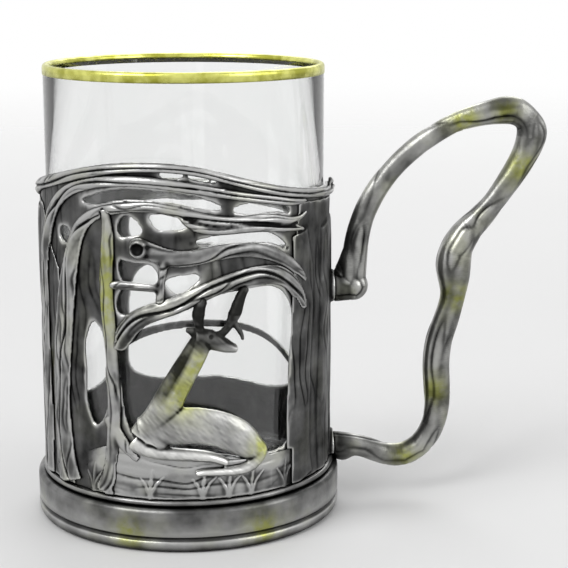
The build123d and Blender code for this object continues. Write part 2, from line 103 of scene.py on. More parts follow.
# Fineness of the turned pieces, and further rings on their straight runs, in millimetres
TURNS = 192
ARC_STEPS = 8
BEAD_STEPS = 12
GROOVE_STEPS = 8
WELD_GAP = 0.0001
GLASS_WALL_RINGS = (40, 75)
GLASS_FLOOR_RING = 15
FOOT_WALL_RINGS = (5.5, 7.5)
FLANGE_RING = 3
MOUTH_RING = 0.6

# Fineness of the castings, in millimetres, and how far their edges are softened
FINE_VOXEL = 0.26
CAST_VOXEL = 0.32
SLEEVE_VOXEL = 0.42
SOFTENING = 0.5
CAST_ROUNDS = 3
HANDLE_ROUNDS = 8

# Bark, in millimetres: the pitch and depth of its splits, and their lengths as numbers of pitches
TRUNK_PITCH = 2.6
BOUGH_PITCH = 1.9
SLEEVE_FISSURES = 0.22
TRUNK_FISSURES = 0.34
BOUGH_FISSURES = 0.45
HANDLE_FISSURES = 0.55
FISSURE_PITCHES = 8
FISSURE_SHARPNESS = 2.5
FISSURE_SHARE = 0.72
WANDER_PITCHES = 3
WANDER_REACH = 1.2
FINE_PITCHES = 0.5
FINE_STRETCH = 2.3
FINE_SHIFT = (9, 5)
FURROW_DEPTH = 0.65
FURROW_WIDTH = 0.4
FURROW_LENGTH = 10
FURROW_WANDER = 2
LIMB_BENDS = 5
SWEEP_CENTRE = (-17, 62)
SWEEP_START = 0.01

# Handle, in millimetres, with places in its upright plane: its line, its swellings and its dark joints
HANDLE_LINE = [
    (36.6, 54.9), (41.2, 54.9), (41.4, 60.8), (42, 66.2), (43.1, 71.2), (45.4, 76.3),
    (49.7, 82.8), (57.2, 89.8), (66.7, 95.4), (75, 97.7), (80.5, 97.9), (84.4, 95.4),
    (85.2, 91.5), (83.3, 86.7), (80.8, 82.6), (76, 75.6), (70, 68.6), (66.5, 63),
    (66.2, 57.5), (66.3, 51.6), (64.2, 44.5), (62.5, 36), (62.8, 26), (61.8, 18.5),
    (58.5, 13), (54.3, 10.7), (49.5, 10.9), (44.5, 12.8), (40, 13.6), (36.6, 14),
]
HANDLE_STATIONS = 400
HANDLE_SWELL = 0.5
SWELL_END = 86
SWELL_FADE = 4
KNEE = (66.4, 59)
KNEE_RADIUS = 7
KNEE_SWELL = 0.9
ELBOW_STRUT = ((39, 56, 3.3), (41.3, 64, 2.2))
STRUT_SIDES = 24
JOINT_DARK_END = 42
JOINT_FADE = 5
JOINT_DARKNESS = 0.6

# Bank with its grass, in millimetres round the sleeve and up
BANK_RADIUS = 35.6
BANK_FOOT = 12
BANK_END_FROM = 20
BANK_END_FADE = 6
BANK_END_DROP = 0.5
BANK_END_DARKNESS = 0.6
BANK_FISSURES = 0.3
BANK_LIFT_HEIGHTS = (17, 20)
BANK_LIFTS = (0.22, 0.66)
GRASS_ROOTS = (-24, -9, 3, 9, 14.5, 24)
GRASS_BLADES = ((-2.4, 5.5), (0.7, 7.5), (3.4, 6))
BLADE_WIDTH = 0.7
BLADE_DEPTH = 0.45
BLADE_TAPER = 1.2
BLADE_FALL = 0.3

# Stag, in millimetres round the sleeve and up
STAG_EYE = (5.1, 51.2)
STAG_EYE_RADIUS = 0.45
STAG_EYE_DEPTH = 0.4
STAG_FUR_DEPTH = 0.07
STAG_FUR_WIDTH = 0.6
STAG_FUR_LENGTH = 2.4
STAG_NECK = (-8, 28)
STAG_NECK_LEAN = (0.46, 0.89)
# Where painted shade lies on the nape, and where the head and antlers grow darker
STAG_NAPE_EDGE = 0.4
STAG_NAPE_FROM = 35
STAG_HEAD_FROM = 46.5
STAG_ANTLERS_FROM = 53
STAG_ANTLERS_END = 69
STAG_ANTLER_SWELL = 0.9
STAG_FADE = 3
STAG_DARKNESS = 0.76
ANTLER_DARKNESS = 0.9

# Wear of a flat face, and what raised edges, broad swellings and single castings add to it, and the painted
# shade on the flanks of the strands
COMMON_WEAR = 0.42
FINE_WEAR = 3.2
FINE_ROUNDS = 2
BROAD_WEAR = 5.1
BROAD_ROUNDS = 14
LIFTS = {
    "openwork_sleeve": -0.1,
    "tree_trunk": -0.06,
    "handle_trunk": -0.12,
    "sapling": 0.1,
    "second_bough": 0.07,
    "third_bough": 0.07,
    "lower_bough": -0.12,
    "main_branch": -0.2,
    "stag": 0.05,
    "handle": 0.04,
}
FLANK_SHADE = 0.95
FACING_GAIN = 1.6
FACING_START = 0.3

# Places where bare brass shows, as x, y, z and radius in millimetres
BRASS_SPOTS = {
    "sapling": [(-18, -30, 58, 7), (-18, -30, 66, 7)],
    "stag": [(-1, -36, 38, 5), (2, -36, 44, 4), (17, -33, 24, 3)],
    "handle": [
        (68, -2, 96, 3.5), (78, -2, 98, 3), (82, -2, 84.5, 3.5),
        (66, -2, 52.5, 3.5), (62, -2, 28, 3.5), (54, -2, 11, 3),
    ],
    "foot_ring": [(-14, -35, 4, 4), (17, -33, 4, 4)],
    "tree_trunk": [(-33, -12, 40, 4), (-33, -12, 28, 4)],
}

# Radius inside which the sleeve's wall counts as its smooth lining, which gets no darkening from ambient
# occlusion, neither patina nor painted shade
LINING_RADIUS = 34.5
LINING_FADE = 0.3

# Textures of the materials: noise scales per metre, ranges of noise or wear, and lengths in metres
PATCH_SCALE = 140
PATCH_RANGE = (0.3, 0.7)
SPECKLE_SCALE = 420
SPECKLE_RANGE = (0.36, 0.58)
SPECKLE_SHARES = (0.45, 1.2)
BRASS_SCALE = 110
BRASS_RANGE = (0.52, 0.66)
BRASS_TINT = (0.9, 0.94, 0.32)
GRIT_SCALE = 1500
GRIT_DEPTH = 0.00012
GRIT_STRENGTH = 0.4
# Ambient occlusion, which stands for patina in hollows and paints shade between close parts: its reach,
# samples and ramp stops
PATINA_AND_SHADE_REACH = 0.0022
PATINA_AND_SHADE_SAMPLES = 8
PATINA_AND_SHADE_STOPS = (0.3, 0.8)
WEAR_AND_SHADE_STOPS = (0.12, 0.5, 0.88)
RUB_RANGE = (0.1, 0.9)
RUB_ROUGHNESS = (0.52, 0.28)
GLASS_INDEX = 1.5
MARK_SCALE = 120
GILT_SCALE = 260
MOTTLE_SCALE = 3

# Steps and scale of the random numbers at the corners of a grid
HASH_STEPS = np.array([12.9898, 78.233, 37.719])
HASH_SCALE = 43758.5453

# Sockets of a mix node that carry its factor, its two colours and its result
MIX_INPUTS = (0, 6, 7)
MIX_RESULT = 2


# Mesh helpers

def link(name, mesh):
    """New object with a mesh."""
    piece = bpy.data.objects.new(name, mesh)
    scene.collection.objects.link(piece)
    return piece


def read(layer, name, width, kind=np.float64):
    """Values of a mesh layer as rows."""
    flat = np.empty(len(layer) * width, kind)
    layer.foreach_get(name, flat)
    return flat.reshape(-1, width)


def vertex_places(mesh):
    """Places of the vertices, in metres."""
    return read(mesh.vertices, "co", 3)


def vertex_normals(mesh):
    """Normals at the vertices."""
    return read(mesh.vertices, "normal", 3)


def move(mesh, points):
    """Puts the vertices in new places."""
    mesh.vertices.foreach_set("co", points.ravel())
    mesh.update()


def push(mesh, depth):
    """Moves each vertex inward along its normal by its depth in millimetres."""
    move(mesh, vertex_places(mesh) - vertex_normals(mesh) * depth[:, None] * MM)


def store(mesh, name, values):
    """Writes one number per vertex for the materials."""
    layer = mesh.attributes.new(name, "FLOAT", "POINT")
    layer.data.foreach_set("value", values.astype(np.float32))


def neighbour_mean(values, edges):
    """Mean over the neighbours of each vertex."""
    size = len(values)
    first, second = edges[:, 0], edges[:, 1]
    total = np.bincount(first, values[second], size) + np.bincount(second, values[first], size)
    count = np.bincount(first, minlength=size) + np.bincount(second, minlength=size)
    return total / np.maximum(count, 1)


def convexity(mesh, rounds):
    """How far each vertex stands out from its neighbours, in edge lengths, evened out over some rounds."""
    points = vertex_places(mesh)
    edges = read(mesh.edges, "vertices", 2, np.int32)
    means = np.stack([neighbour_mean(points[:, axis], edges) for axis in range(3)], axis=1)
    length = np.linalg.norm(points[edges[:, 0]] - points[edges[:, 1]], axis=1).mean()
    bend = np.einsum("ij,ij->i", points - means, vertex_normals(mesh)) / length
    for _ in range(rounds):
        bend = (bend + neighbour_mean(bend, edges)) / 2
    return bend


def joined(mesh, vertices, faces):
    """New mesh from a mesh and more vertices and faces, which may reach into it."""
    places = vertex_places(mesh)
    shift = len(places)
    old_faces = [tuple(face.vertices) for face in mesh.polygons]
    new_faces = [tuple(index + shift for index in face) for face in faces]
    both = bpy.data.meshes.new(mesh.name)
    both.from_pydata([*places.tolist(), *vertices], [], [*old_faces, *new_faces])
    return both


def strut(*ends):
    """Vertices and faces of a tapered bar in the handle's plane, from x, z and radius at its two ends."""
    ends = np.array(ends) * MM
    way = ends[1, :2] - ends[0, :2]
    side = np.array([-way[1], way[0]]) / np.linalg.norm(way)
    vertices = []
    for x, z, radius in ends:
        for turn in range(STRUT_SIDES):
            angle = 2 * math.pi * turn / STRUT_SIDES
            reach = radius * math.cos(angle)
            vertices.append((x + side[0] * reach, radius * math.sin(angle), z + side[1] * reach))
    ring = range(STRUT_SIDES)
    faces = [tuple(ring), tuple(index + STRUT_SIDES for index in reversed(ring))]
    for index in ring:
        after = (index + 1) % STRUT_SIDES
        faces.append((index, index + STRUT_SIDES, after + STRUT_SIDES, after))
    return vertices, faces


def refined(node, voxel, rounds, added=None):
    """New piece: a finer copy of a node's mesh with softened edges, with a bar added if one is given."""
    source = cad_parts[node].data
    piece = link(node + "_cast", joined(source, *added) if added else source.copy())
    remesh = piece.modifiers.new("remesh", "REMESH")
    remesh.mode = "VOXEL"
    remesh.voxel_size = voxel * MM * 1
    soften = piece.modifiers.new("soften", "SMOOTH")
    soften.factor = SOFTENING
    soften.iterations = rounds
    done = piece.evaluated_get(bpy.context.evaluated_depsgraph_get())
    mesh = bpy.data.meshes.new_from_object(done)
    piece.modifiers.clear()
    piece.data = mesh
    mesh.materials.clear()
    mesh.shade_smooth()
    return piece


def arc(centre, radius, start, end, steps=ARC_STEPS):
    """Points of an arc in a profile, from one angle to another in degrees."""
    points = []
    for step in range(steps + 1):
        angle = math.radians(start + (end - start) * step / steps)
        points.append((centre[0] + radius * math.cos(angle), centre[1] + radius * math.sin(angle)))
    return points


def turned(name, profile):
    """Piece turned about the upright axis from radii and heights, which form a loop or end on the axis."""
    rows = len(profile)
    ends_on_axis = profile[0][0] == 0
    vertices = []
    for turn in range(TURNS):
        angle = 2 * math.pi * turn / TURNS
        for radius, height in profile:
            vertices.append((radius * MM * math.cos(angle), radius * MM * math.sin(angle), height * MM))
    faces = []
    for turn in range(TURNS):
        here = turn * rows
        after = (turn + 1) % TURNS * rows
        for row in range(rows - 1 if ends_on_axis else rows):
            above = (row + 1) % rows
            faces.append((here + row, after + row, after + above, here + above))
    mesh = bpy.data.meshes.new(name)
    mesh.from_pydata(vertices, [], faces)
    welded = bmesh.new()
    welded.from_mesh(mesh)
    bmesh.ops.remove_doubles(welded, verts=welded.verts, dist=WELD_GAP * MM)
    welded.to_mesh(mesh)
    welded.free()
    mesh.shade_smooth()
    return link(name, mesh)


# Grain, wear and painted shade

def unrolled(points, start=None):
    """Way round the sleeve from an angle, or from the middle of a piece, and height, both in millimetres."""
    if start is None:
        middle = points.mean(axis=0)
        start = np.arctan2(middle[0], -middle[1])
    turn = np.arctan2(points[:, 0], -points[:, 1]) - start
    turn = (turn + np.pi) % (2 * np.pi) - np.pi
    return turn * SLEEVE_RADIUS, points[:, 2] / MM


def middle_line(across, along):
    """Middle of a gently bent limb across its grain, for each place along it."""
    share = along / np.abs(along).max()
    return np.polyval(np.polyfit(share, across, LIMB_BENDS), share)


def limb_grain(points):
    """Coordinates across and along a limb that bends gently."""
    around, height = unrolled(points)
    flat = np.stack([around, height - height.mean()], axis=1)
    _, axes = np.linalg.eigh(flat.T @ flat)
    across, along = flat @ axes[:, 0], flat @ axes[:, 1]
    return (across - middle_line(across, along))[:, None], along


def upright_grain(points):
    """Coordinates across and along an upright grain."""
    around, height = unrolled(points)
    return around[:, None], height


def sweeping_grain(points):
    """Coordinates across and along a grain that climbs the trunk and bends over into the boughs."""
    around, height = unrolled(points, 0)
    side = around - SWEEP_CENTRE[0]
    climb = height - SWEEP_CENTRE[1]
    left, above = np.maximum(-side, 0), np.maximum(climb, 0)
    across = np.hypot(left, above)
    bend = across.mean() * np.arctan2(above, left + SWEEP_START)
    return across[:, None], np.maximum(side, 0) + np.minimum(climb, 0) + bend


def handle_grain(points):
    """Coordinates in the cross-section and along the limb of the handle."""
    line = np.array(HANDLE_LINE, float)
    lengths = np.concatenate([[0], np.cumsum(np.linalg.norm(np.diff(line, axis=0), axis=1))])
    stations = np.linspace(0, lengths[-1], HANDLE_STATIONS)
    path = np.stack([np.interp(stations, lengths, line[:, axis]) for axis in range(2)], axis=1)
    ways = np.gradient(path, axis=0)
    flat = points[:, [0, 2]] / MM
    nearest = np.array([np.argmin(np.sum((path - spot) ** 2, axis=1)) for spot in flat])
    offset = flat - path[nearest]
    way = ways[nearest]
    side = (way[:, 0] * offset[:, 1] - way[:, 1] * offset[:, 0]) / np.linalg.norm(way, axis=1)
    return np.stack([side, points[:, 1] / MM], axis=1), stations[nearest]


def cloud(places):
    """Smooth random values from 0 to 1 that change over about one unit, for rows of coordinates."""
    base = np.floor(places)
    part = places - base
    part = part * part * (3 - 2 * part)
    total = np.zeros(len(places))
    for corner in itertools.product((0, 1), repeat=places.shape[1]):
        weight = np.prod(np.where(corner, part, 1 - part), axis=1)
        total += weight * (np.sin((base + corner) @ HASH_STEPS[:places.shape[1]]) * HASH_SCALE % 1)
    return total


def fissures(across, along, pitch):
    """Depth from 0 to 1 of bark that is split along its grain."""
    wander = cloud(np.column_stack([across, along]) / (WANDER_PITCHES * pitch))
    long_way = along / (FISSURE_PITCHES * pitch)
    broad = cloud(np.column_stack([across / pitch + WANDER_REACH * wander[:, None], long_way]))
    fine_across = across / (FINE_PITCHES * pitch) + FINE_SHIFT[0]
    fine = cloud(np.column_stack([fine_across, FINE_STRETCH * long_way + FINE_SHIFT[1]]))
    splits = (1 - np.abs(2 * broad - 1)) ** FISSURE_SHARPNESS
    return FISSURE_SHARE * splits + (1 - FISSURE_SHARE) * (1 - fine)


def furrow(across, along):
    """Depth from 0 to 1 of one split that wanders down the middle of a limb."""
    middle = middle_line(across[:, 0], along)
    wander = FURROW_WANDER * (cloud(along[:, None] / FURROW_LENGTH) - 0.5)
    return np.exp(-((across[:, 0] - middle - wander) / FURROW_WIDTH) ** 2)


def outer_share(mesh):
    """From 0 on faces that look inward to 1 on faces that look away from the axis."""
    points = vertex_places(mesh)
    away = points[:, :2] / np.linalg.norm(points[:, :2], axis=1)[:, None]
    facing = (away * vertex_normals(mesh)[:, :2]).sum(axis=1)
    return np.clip(facing * FACING_GAIN - FACING_START, 0, 1)


def add_wear(mesh, node, lift=0.0, dark_share=0.0):
    """Stores how far the patina is rubbed off, most on raised edges, lowered by the dark share, which paints
    shade on flanks and the stag's nape and darkens some other places; also where brass shows, and the
    lining.
    """
    bend = FINE_WEAR * convexity(mesh, FINE_ROUNDS) + BROAD_WEAR * convexity(mesh, BROAD_ROUNDS)
    store(mesh, "wear_and_shade", np.clip(COMMON_WEAR + lift + bend, 0, 1) * (1 - dark_share))
    points = vertex_places(mesh) / MM
    brass = np.zeros(len(points))
    for x, y, z, radius in BRASS_SPOTS.get(node, []):
        gap = np.linalg.norm(points - (x, y, z), axis=1) / radius
        brass = np.maximum(brass, np.exp(-gap ** 2))
    store(mesh, "brass", brass)
    from_axis = np.linalg.norm(points[:, :2], axis=1)
    store(mesh, "lining", np.clip((LINING_RADIUS - from_axis) / LINING_FADE, 0, 1))


def finish_casting(piece, node, material, lift, dark_share=0.0):
    """Wear and painted shade, material and place of a casting that stands for its node."""
    add_wear(piece.data, node, lift, dark_share)
    piece.data.materials.append(material)
    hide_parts(node)
    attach(piece, "holder")


def casting(node, grain, depth, pitch=BOUGH_PITCH, voxel=CAST_VOXEL, furrow_depth=0.0, flank_shade=0.0):
    """Cast relief: a finer copy of its node, split along the grain of its bark, with painted shade on its
    flanks.
    """
    piece = refined(node, voxel, CAST_ROUNDS)
    mesh = piece.data
    across, along = grain(vertex_places(mesh))
    splits = depth * fissures(across, along, pitch) + furrow_depth * furrow(across, along)
    push(mesh, splits * outer_share(mesh))
    # Painted shade on the flanks, the faces that do not look away from the axis
    dark_share = flank_shade * (1 - outer_share(mesh))
    finish_casting(piece, node, bark_metal, LIFTS.get(node, 0), dark_share)


# Material helpers

def new_material(name):
    """Material with its nodes, links and main shader."""
    material = bpy.data.materials.new(name)
    material.use_nodes = True
    tree = material.node_tree
    return material, tree.nodes, tree.links, tree.nodes["Principled BSDF"]


def feed(links, value, socket):
    """Links a value that is a socket to another socket, or sets a number or a colour on it."""
    if isinstance(value, bpy.types.NodeSocket):
        links.new(value, socket)
    else:
        socket.default_value = (*value, 1) if isinstance(value, tuple) else value


def attribute(nodes, name):
    """Number that the mesh holds at each vertex."""
    node = nodes.new("ShaderNodeAttribute")
    node.attribute_name = name
    return node.outputs["Fac"]


def noise(nodes, links, place, scale, detail=3):
    """Noise factor at a scale per metre."""
    texture = nodes.new("ShaderNodeTexNoise")
    texture.inputs["Scale"].default_value = scale
    texture.inputs["Detail"].default_value = detail
    links.new(place, texture.inputs["Vector"])
    return texture.outputs["Fac"]


def ramp(nodes, links, factor, stops):
    """Colour ramp from pairs of position and colour."""
    node = nodes.new("ShaderNodeValToRGB")
    elements = node.color_ramp.elements
    while len(elements) < len(stops):
        elements.new(0.5)
    for element, (position, colour) in zip(elements, stops):
        element.position = position
        element.color = (*colour, 1)
    links.new(factor, node.inputs["Fac"])
    return node.outputs["Color"]


def mix(nodes, links, factor, first, second, way="MIX"):
    """Mix of two colours, each a socket or a colour."""
    node = nodes.new("ShaderNodeMix")
    node.data_type = "RGBA"
    node.blend_type = way
    for index, value in zip(MIX_INPUTS, (factor, first, second)):
        feed(links, value, node.inputs[index])
    return node.outputs[MIX_RESULT]


def scaled_sum(nodes, links, first, second, third, clamped=False):
    """First factor times the second, plus the third, each a socket or a number."""
    node = nodes.new("ShaderNodeMath")
    node.operation = "MULTIPLY_ADD"
    node.use_clamp = clamped
    for socket, value in zip(node.inputs, (first, second, third)):
        feed(links, value, socket)
    return node.outputs["Value"]


def span(nodes, links, factor, source, target, way="LINEAR"):
    """Factor mapped from one range to another."""
    node = nodes.new("ShaderNodeMapRange")
    node.interpolation_type = way
    for name, value in zip(("From Min", "From Max", "To Min", "To Max"), (*source, *target)):
        node.inputs[name].default_value = value
    links.new(factor, node.inputs["Value"])
    return node.outputs["Result"]


def add_bump(nodes, links, shader, height, distance, strength):
    """Fine unevenness of a surface."""
    bump = nodes.new("ShaderNodeBump")
    bump.inputs["Distance"].default_value = distance
    bump.inputs["Strength"].default_value = strength
    links.new(height, bump.inputs["Height"])
    links.new(bump.outputs["Normal"], shader.inputs["Normal"])


def add_clearness(nodes, links, shader, share):
    """Lets a share of the light straight through a surface."""
    clear = nodes.new("ShaderNodeBsdfTransparent")
    both = nodes.new("ShaderNodeMixShader")
    links.new(share, both.inputs[0])
    links.new(shader.outputs["BSDF"], both.inputs[1])
    links.new(clear.outputs["BSDF"], both.inputs[2])
    links.new(both.outputs["Shader"], nodes["Material Output"].inputs["Surface"])


# Materials

def patina(name, dark, middle, bright, brass_share=0.12, patchiness=0.4, patina_and_shade_level=0.12):
    """Cast metal, rubbed bright on its edges and darker where the mesh holds painted shade, with patches of
    bare brass; ambient occlusion darkens it further, standing for patina in its hollows and painting shade
    between close parts, except on the lining.
    """
    material, nodes, links, shader = new_material(name)
    place = nodes.new("ShaderNodeTexCoord").outputs["Object"]
    patches = span(nodes, links, noise(nodes, links, place, PATCH_SCALE), PATCH_RANGE, (-0.5, 0.5))
    wear_and_shade = scaled_sum(nodes, links, patches, patchiness, attribute(nodes, "wear_and_shade"))
    # Colour from wear and painted shade: dark, middle and bright metal
    rubbed_and_shaded = ramp(nodes, links, wear_and_shade, list(zip(WEAR_AND_SHADE_STOPS, (dark, middle, bright))))
    speckle = noise(nodes, links, place, SPECKLE_SCALE, 4)
    speckle = span(nodes, links, speckle, SPECKLE_RANGE, SPECKLE_SHARES)
    patchy = span(nodes, links, noise(nodes, links, place, BRASS_SCALE, 2), BRASS_RANGE, (0, brass_share))
    bare = scaled_sum(nodes, links, attribute(nodes, "brass"), speckle, patchy, clamped=True)
    brassy = mix(nodes, links, 1.0, rubbed_and_shaded, BRASS_TINT, "MULTIPLY")
    shade = mix(nodes, links, bare, rubbed_and_shaded, brassy)
    # Ambient occlusion darkens the colour: patina in the hollows, and painted shade between close parts
    hollow = nodes.new("ShaderNodeAmbientOcclusion")
    hollow.samples = PATINA_AND_SHADE_SAMPLES
    hollow.inputs["Distance"].default_value = PATINA_AND_SHADE_REACH
    patina_and_shade_tones = ((patina_and_shade_level,) * 3, (1, 1, 1))
    patina_and_shade = ramp(nodes, links, hollow.outputs["AO"], list(zip(PATINA_AND_SHADE_STOPS, patina_and_shade_tones)))
    patina_and_shade_share = span(nodes, links, attribute(nodes, "lining"), (0, 1), (1, 0))
    links.new(mix(nodes, links, patina_and_shade_share, shade, patina_and_shade, "MULTIPLY"), shader.inputs["Base Color"])
    links.new(span(nodes, links, wear_and_shade, RUB_RANGE, RUB_ROUGHNESS), shader.inputs["Roughness"])
    shader.inputs["Metallic"].default_value = 1
    grit = noise(nodes, links, place, GRIT_SCALE, 4)
    add_bump(nodes, links, shader, grit, GRIT_DEPTH, GRIT_STRENGTH)
    return material


def clear_glass():
    """Clear glass with a trace of handling marks, which casts hardly any shadow."""
    material, nodes, links, shader = new_material("clear_glass")
    place = nodes.new("ShaderNodeTexCoord").outputs["Object"]
    marks = noise(nodes, links, place, MARK_SCALE)
    shader.inputs["IOR"].default_value = GLASS_INDEX
    shader.inputs["Transmission Weight"].default_value = 1
    tint = ramp(nodes, links, marks, [(0.3, (0.985, 0.995, 0.99)), (0.7, (1, 1, 1))])
    links.new(tint, shader.inputs["Base Color"])
    links.new(span(nodes, links, marks, (0.4, 0.7), (0, 0.02)), shader.inputs["Roughness"])
    rays = nodes.new("ShaderNodeLightPath")
    add_clearness(nodes, links, shader, rays.outputs["Is Shadow Ray"])
    return material


def gilding():
    """Fired gold, a little rubbed."""
    material, nodes, links, shader = new_material("gilding")
    place = nodes.new("ShaderNodeTexCoord").outputs["Object"]
    rub = noise(nodes, links, place, GILT_SCALE)
    gold_shade = ramp(nodes, links, rub, [(0.35, (0.36, 0.36, 0.05)), (0.62, (0.70, 0.70, 0.20))])
    links.new(gold_shade, shader.inputs["Base Color"])
    links.new(span(nodes, links, rub, (0.3, 0.7), (0.34, 0.2)), shader.inputs["Roughness"])
    shader.inputs["Metallic"].default_value = 1
    return material


def floor_paint():
    """Pale paint, faintly mottled, which grows clear away from the object."""
    material, nodes, links, shader = new_material("floor_paint")
    place = nodes.new("ShaderNodeTexCoord").outputs["Object"]
    mottle = noise(nodes, links, place, MOTTLE_SCALE)
    paint = ramp(nodes, links, mottle, [(0.3, (FLOOR_GREYS[0],) * 3), (0.7, (FLOOR_GREYS[1],) * 3)])
    links.new(paint, shader.inputs["Base Color"])
    shader.inputs["Roughness"].default_value = FLOOR_ROUGHNESS
    distance = nodes.new("ShaderNodeVectorMath")
    distance.operation = "LENGTH"
    links.new(place, distance.inputs[0])
    clear_share = span(nodes, links, distance.outputs["Value"], FLOOR_FADE, (0, 1), "SMOOTHSTEP")
    add_clearness(nodes, links, shader, clear_share)
    return material


bark_metal = patina(
    "bark_metal", dark=(0.010, 0.010, 0.010), middle=(0.11, 0.11, 0.109), bright=(0.42, 0.42, 0.415),
)
stag_metal = patina(
    "stag_metal", dark=(0.022, 0.022, 0.021), middle=(0.33, 0.33, 0.325), bright=(0.70, 0.70, 0.68),
    brass_share=0.1, patchiness=0.3,
)
handle_metal = patina(
    "handle_metal", dark=(0.010, 0.010, 0.0095), middle=(0.115, 0.115, 0.111), bright=(0.40, 0.40, 0.385),
    brass_share=0.2,
)
foot_metal = patina(
    "foot_metal", dark=(0.013, 0.013, 0.013), middle=(0.064, 0.064, 0.0635), bright=(0.38, 0.38, 0.375),
    patchiness=0.24,
)
plate_metal = patina(
    "plate_metal", dark=(0.09, 0.09, 0.088), middle=(0.16, 0.16, 0.157), bright=(0.30, 0.30, 0.295),
    patina_and_shade_level=0.6,
)
glass = clear_glass()
gold = gilding()

# Castings on the sleeve
casting("openwork_sleeve", upright_grain, SLEEVE_FISSURES, TRUNK_PITCH, SLEEVE_VOXEL)
casting("tree_trunk", sweeping_grain, TRUNK_FISSURES, TRUNK_PITCH, FINE_VOXEL)
casting("handle_trunk", upright_grain, TRUNK_FISSURES, TRUNK_PITCH, FINE_VOXEL)
casting("sapling", limb_grain, BOUGH_FISSURES, flank_shade=FLANK_SHADE)
for bough in ("top_bough", "second_bough", "third_bough"):
    casting(bough, sweeping_grain, BOUGH_FISSURES, furrow_depth=FURROW_DEPTH, flank_shade=FLANK_SHADE)
casting("lower_bough", limb_grain, BOUGH_FISSURES)
casting("main_branch", limb_grain, BOUGH_FISSURES, furrow_depth=FURROW_DEPTH)
for limb in (
    "rear_tree", "rear_top_bough", "rear_middle_bough",
    "rear_lower_bough", "rear_low_twig", "rear_high_twig",
):
    casting(limb, limb_grain, BOUGH_FISSURES)

# Bank, levelled and then grown over with tufts of grass
bank = refined("bank_relief", FINE_VOXEL, CAST_ROUNDS)
points = vertex_places(bank.data)
around, height = unrolled(points, 0)
from_axis = np.linalg.norm(points[:, :2], axis=1) / MM
end_share = np.clip((np.abs(around) - BANK_END_FROM) / BANK_END_FADE, 0, 1)
level = BANK_RADIUS - BANK_END_DROP * end_share
points[:, :2] *= (np.minimum(from_axis, level) / from_axis)[:, None]
move(bank.data, points)
grass = np.zeros(len(points))
for root, (lean, length) in itertools.product(GRASS_ROOTS, GRASS_BLADES):
    share = np.clip((height - BANK_FOOT) / length, 0, 1)
    gap = (around - root - lean * share ** 2) / (BLADE_WIDTH * (BLADE_TAPER - share))
    grass = np.maximum(grass, (1 - share) ** BLADE_FALL * np.exp(-gap ** 2))
splits = BANK_FISSURES * fissures(*limb_grain(points), BOUGH_PITCH) - BLADE_DEPTH * grass
push(bank.data, splits * outer_share(bank.data))
bank_lift = np.interp(height, BANK_LIFT_HEIGHTS, BANK_LIFTS)
finish_casting(bank, "bank_relief", bark_metal, bank_lift, BANK_END_DARKNESS * end_share)

# Stag, with short fur, a hollow for its eye, painted shade on its nape, and a darker head and antlers
stag = refined("stag", FINE_VOXEL, CAST_ROUNDS)
around, height = unrolled(vertex_places(stag.data), 0)
# Painted shade on the nape, the left side of the neck above the shoulder
nape_side = (STAG_NECK[0] - around) * STAG_NECK_LEAN[1] + (height - STAG_NECK[1]) * STAG_NECK_LEAN[0]
above_shoulder = np.clip((height - STAG_NAPE_FROM) / STAG_FADE, 0, 1)
nape_shade = np.clip(nape_side - STAG_NAPE_EDGE, 0, 1) * above_shoulder
head = np.clip((height - STAG_HEAD_FROM) / STAG_FADE, 0, 1)
antlers = np.clip((height - STAG_ANTLERS_FROM) / STAG_FADE, 0, 1)
taper = np.clip((STAG_ANTLERS_END - height) / (STAG_ANTLERS_END - STAG_ANTLERS_FROM), 0, 1)
eye_gap = np.hypot(around - STAG_EYE[0], height - STAG_EYE[1]) / STAG_EYE_RADIUS
fur = cloud(np.column_stack([(around + height) / STAG_FUR_WIDTH, (around - height) / STAG_FUR_LENGTH]))
hollows = STAG_FUR_DEPTH * fur + STAG_EYE_DEPTH * np.exp(-eye_gap ** 2)
push(stag.data, hollows * outer_share(stag.data) - STAG_ANTLER_SWELL * antlers * taper)
stag_dark = np.maximum(STAG_DARKNESS * np.maximum(nape_shade, head), ANTLER_DARKNESS * antlers)
finish_casting(stag, "stag", stag_metal, LIFTS["stag"], stag_dark)

# Handle, with a fuller elbow and knee, and dark where it meets the sleeve
handle = refined("handle", FINE_VOXEL, HANDLE_ROUNDS, strut(*ELBOW_STRUT))
points = vertex_places(handle.data)
across, along = handle_grain(points)
out = points[:, 0] / MM
swell = HANDLE_SWELL * np.clip((SWELL_END - out) / SWELL_FADE, 0, 1)
knee_gap = np.linalg.norm(points[:, [0, 2]] / MM - KNEE, axis=1) / KNEE_RADIUS
swell += KNEE_SWELL * np.exp(-knee_gap ** 2)
push(handle.data, HANDLE_FISSURES * fissures(across, along, TRUNK_PITCH) - swell)
joint_share = np.clip((JOINT_DARK_END - out) / JOINT_FADE, 0, 1)
finish_casting(handle, "handle", handle_metal, LIFTS["handle"], JOINT_DARKNESS * joint_share)

